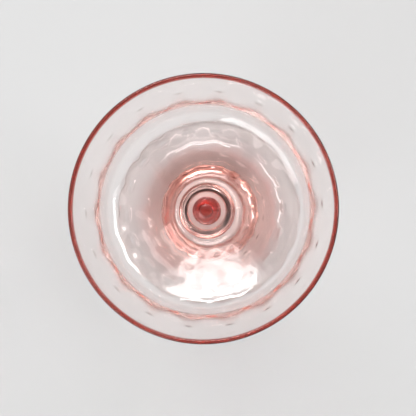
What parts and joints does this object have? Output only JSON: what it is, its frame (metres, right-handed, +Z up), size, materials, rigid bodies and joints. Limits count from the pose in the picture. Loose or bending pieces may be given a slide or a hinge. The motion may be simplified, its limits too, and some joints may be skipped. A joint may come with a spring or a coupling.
{
  "type": "footed candy dish",
  "caption": "Footed glass candy dish: a flared optic-blown bowl with a red rim and a domed centre button, on a collar, a solid stem and a round domed foot.",
  "frame": {"origin": "centre of the flat ring that the foot rests on", "axes": "+Z up along the axis of the stem and bowl; +X through the middle of one column of the optic pattern"},
  "size_m": [0.16, 0.16, 0.1382],
  "materials": {
    "bowl_glass": "gloss",
    "stem_glass": "gloss",
    "foot_glass": "gloss"
  },
  "bodies": {
    "root": {"bowl": "bowl_glass", "collar": "bowl_glass", "stem": "stem_glass", "foot": "foot_glass"}
  },
  "joints": []
}
